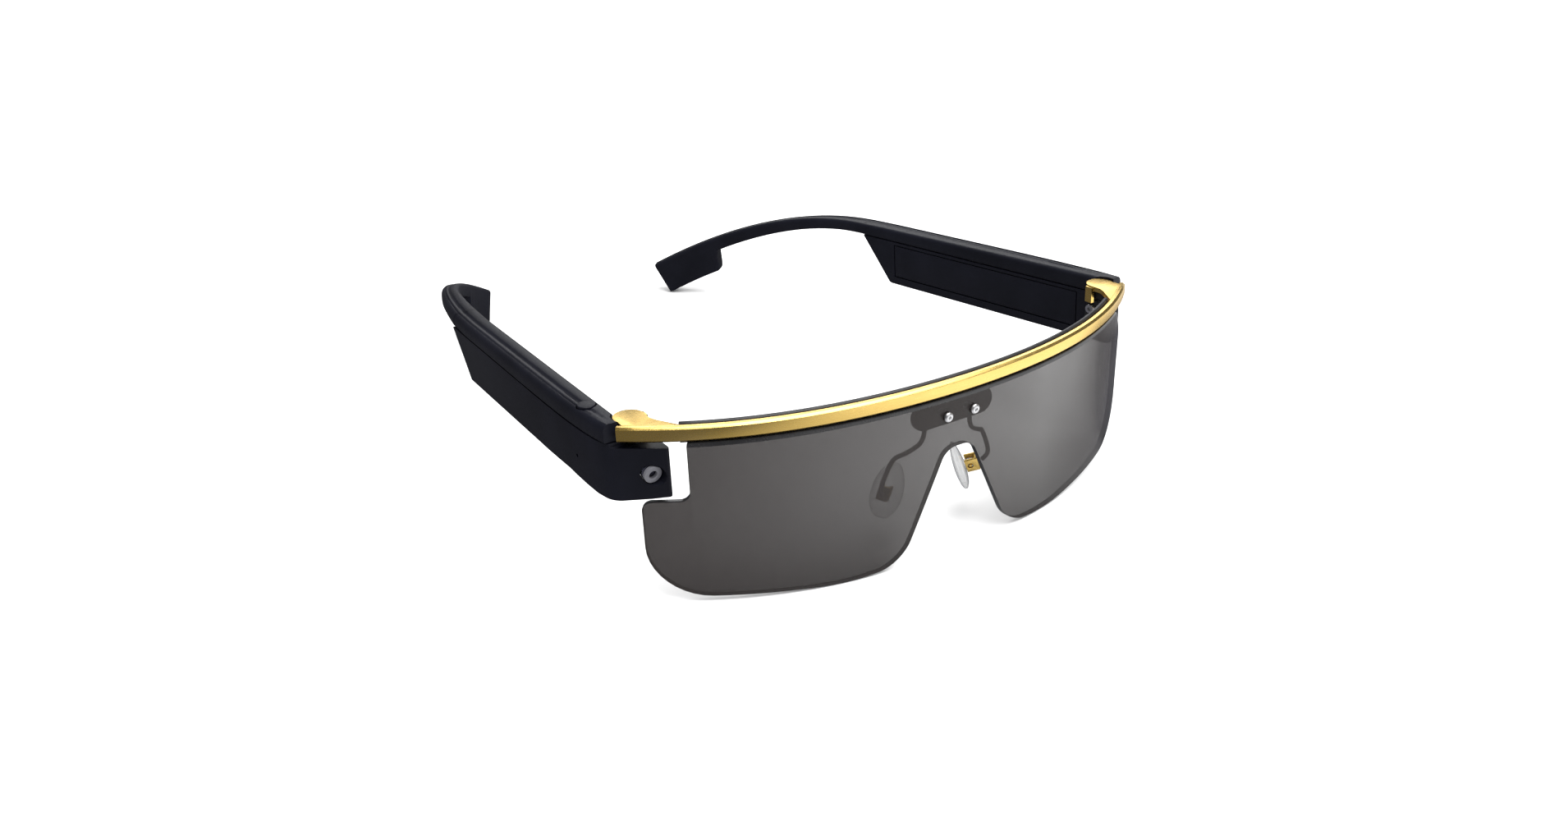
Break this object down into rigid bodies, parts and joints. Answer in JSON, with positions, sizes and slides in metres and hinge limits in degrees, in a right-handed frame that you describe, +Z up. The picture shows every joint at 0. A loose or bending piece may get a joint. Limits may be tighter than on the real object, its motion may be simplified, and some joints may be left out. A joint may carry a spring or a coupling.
{
  "type": "smart glasses",
  "caption": "Wrap-around smart glasses with one tinted shield lens, a brow bar, wire nose pads and two folding temples with electronics pods and a camera.",
  "frame": {"origin": "centre of the plan outline, on the plane that the lens and the ear hooks stand on", "axes": "+X is the wearer's left, +Y runs back along the temples, -Y is the way the wearer looks, +Z is up"},
  "size_m": [0.1502, 0.1838, 0.0427],
  "materials": {
    "gold": "satin gold anodised",
    "liner_black": "satin black",
    "smoke_lens": "polished, smoke tinted, see-through",
    "soft_black": "soft-touch black",
    "steel": "bright turned steel",
    "dark_steel": "blackened steel",
    "wire": "dark plated wire",
    "clear_silicone": "clear silicone",
    "camera_glass": "coated, polished",
    "camera_ring": "satin grey",
    "board_green": "solder mask",
    "chip_black": "moulded black",
    "battery_wrap": "foil pouch"
  },
  "bodies": {
    "front": {"brow_trim": "gold", "front_frame": "liner_black", "shield_lens": "smoke_lens", "nose_bracket": "dark_steel", "bracket_screw_left": "steel", "bracket_screw_right": "steel", "pad_arm_left": "wire", "pad_arm_right": "wire", "pad_box_left": "gold", "pad_box_right": "gold", "pad_screw_left": "gold", "pad_screw_right": "gold", "hinge_tongue_left": "dark_steel", "hinge_tongue_right": "dark_steel", "hinge_pin_left": "steel", "hinge_pin_right": "steel"},
    "pad_left": {"nose_pad_left": "clear_silicone"},
    "pad_right": {"nose_pad_right": "clear_silicone"},
    "temple_right": {"temple_arm_right": "soft_black", "pod_shell_right": "soft_black", "pod_cover_right": "soft_black", "hinge_knuckle_right": "dark_steel", "hinge_screw_right": "steel", "camera_ring": "camera_ring", "camera_glass": "camera_glass", "camera_barrel": "chip_black", "main_board": "board_green", "image_chip": "chip_black", "battery_right": "battery_wrap", "microphone": "chip_black", "usb_socket": "steel", "button_switch": "chip_black"},
    "temple_left": {"temple_arm_left": "soft_black", "pod_shell_left": "soft_black", "pod_cover_left": "soft_black", "hinge_knuckle_left": "dark_steel", "hinge_screw_left": "steel", "power_board": "board_green", "battery_left": "battery_wrap"},
    "button": {"record_button": "soft_black"}
  },
  "joints": [
    {"name": "temple_fold_right", "type": "hinge", "parent": "front", "child": "temple_right", "pos_m": [-0.0664, -0.06365, 0.03761], "axis": [0, -0.0918, 0.9958], "range_deg": [-88, 0]},
    {"name": "temple_fold_left", "type": "hinge", "parent": "front", "child": "temple_left", "pos_m": [0.0676, -0.06365, 0.03761], "axis": [0, -0.0918, 0.9958], "range_deg": [-11.5, 62]},
    {"name": "nose_pad_rock_right", "type": "hinge", "parent": "front", "child": "pad_right", "pos_m": [-0.01187, -0.08092, 0.01328], "axis": [-0.5708, 0.8014, 0.1788], "range_deg": [-10, 10]},
    {"name": "nose_pad_rock_left", "type": "hinge", "parent": "front", "child": "pad_left", "pos_m": [0.01308, -0.08092, 0.01328], "axis": [0.5708, 0.8014, 0.1788], "range_deg": [-10, 10]},
    {"name": "record_button_press", "type": "slide", "parent": "temple_right", "child": "button", "axis": [0, -0.0651, -0.9979], "range_m": [0, 0.0005], "stiffness_N_per_m": 2000, "springref_m": -0.0003}
  ]
}
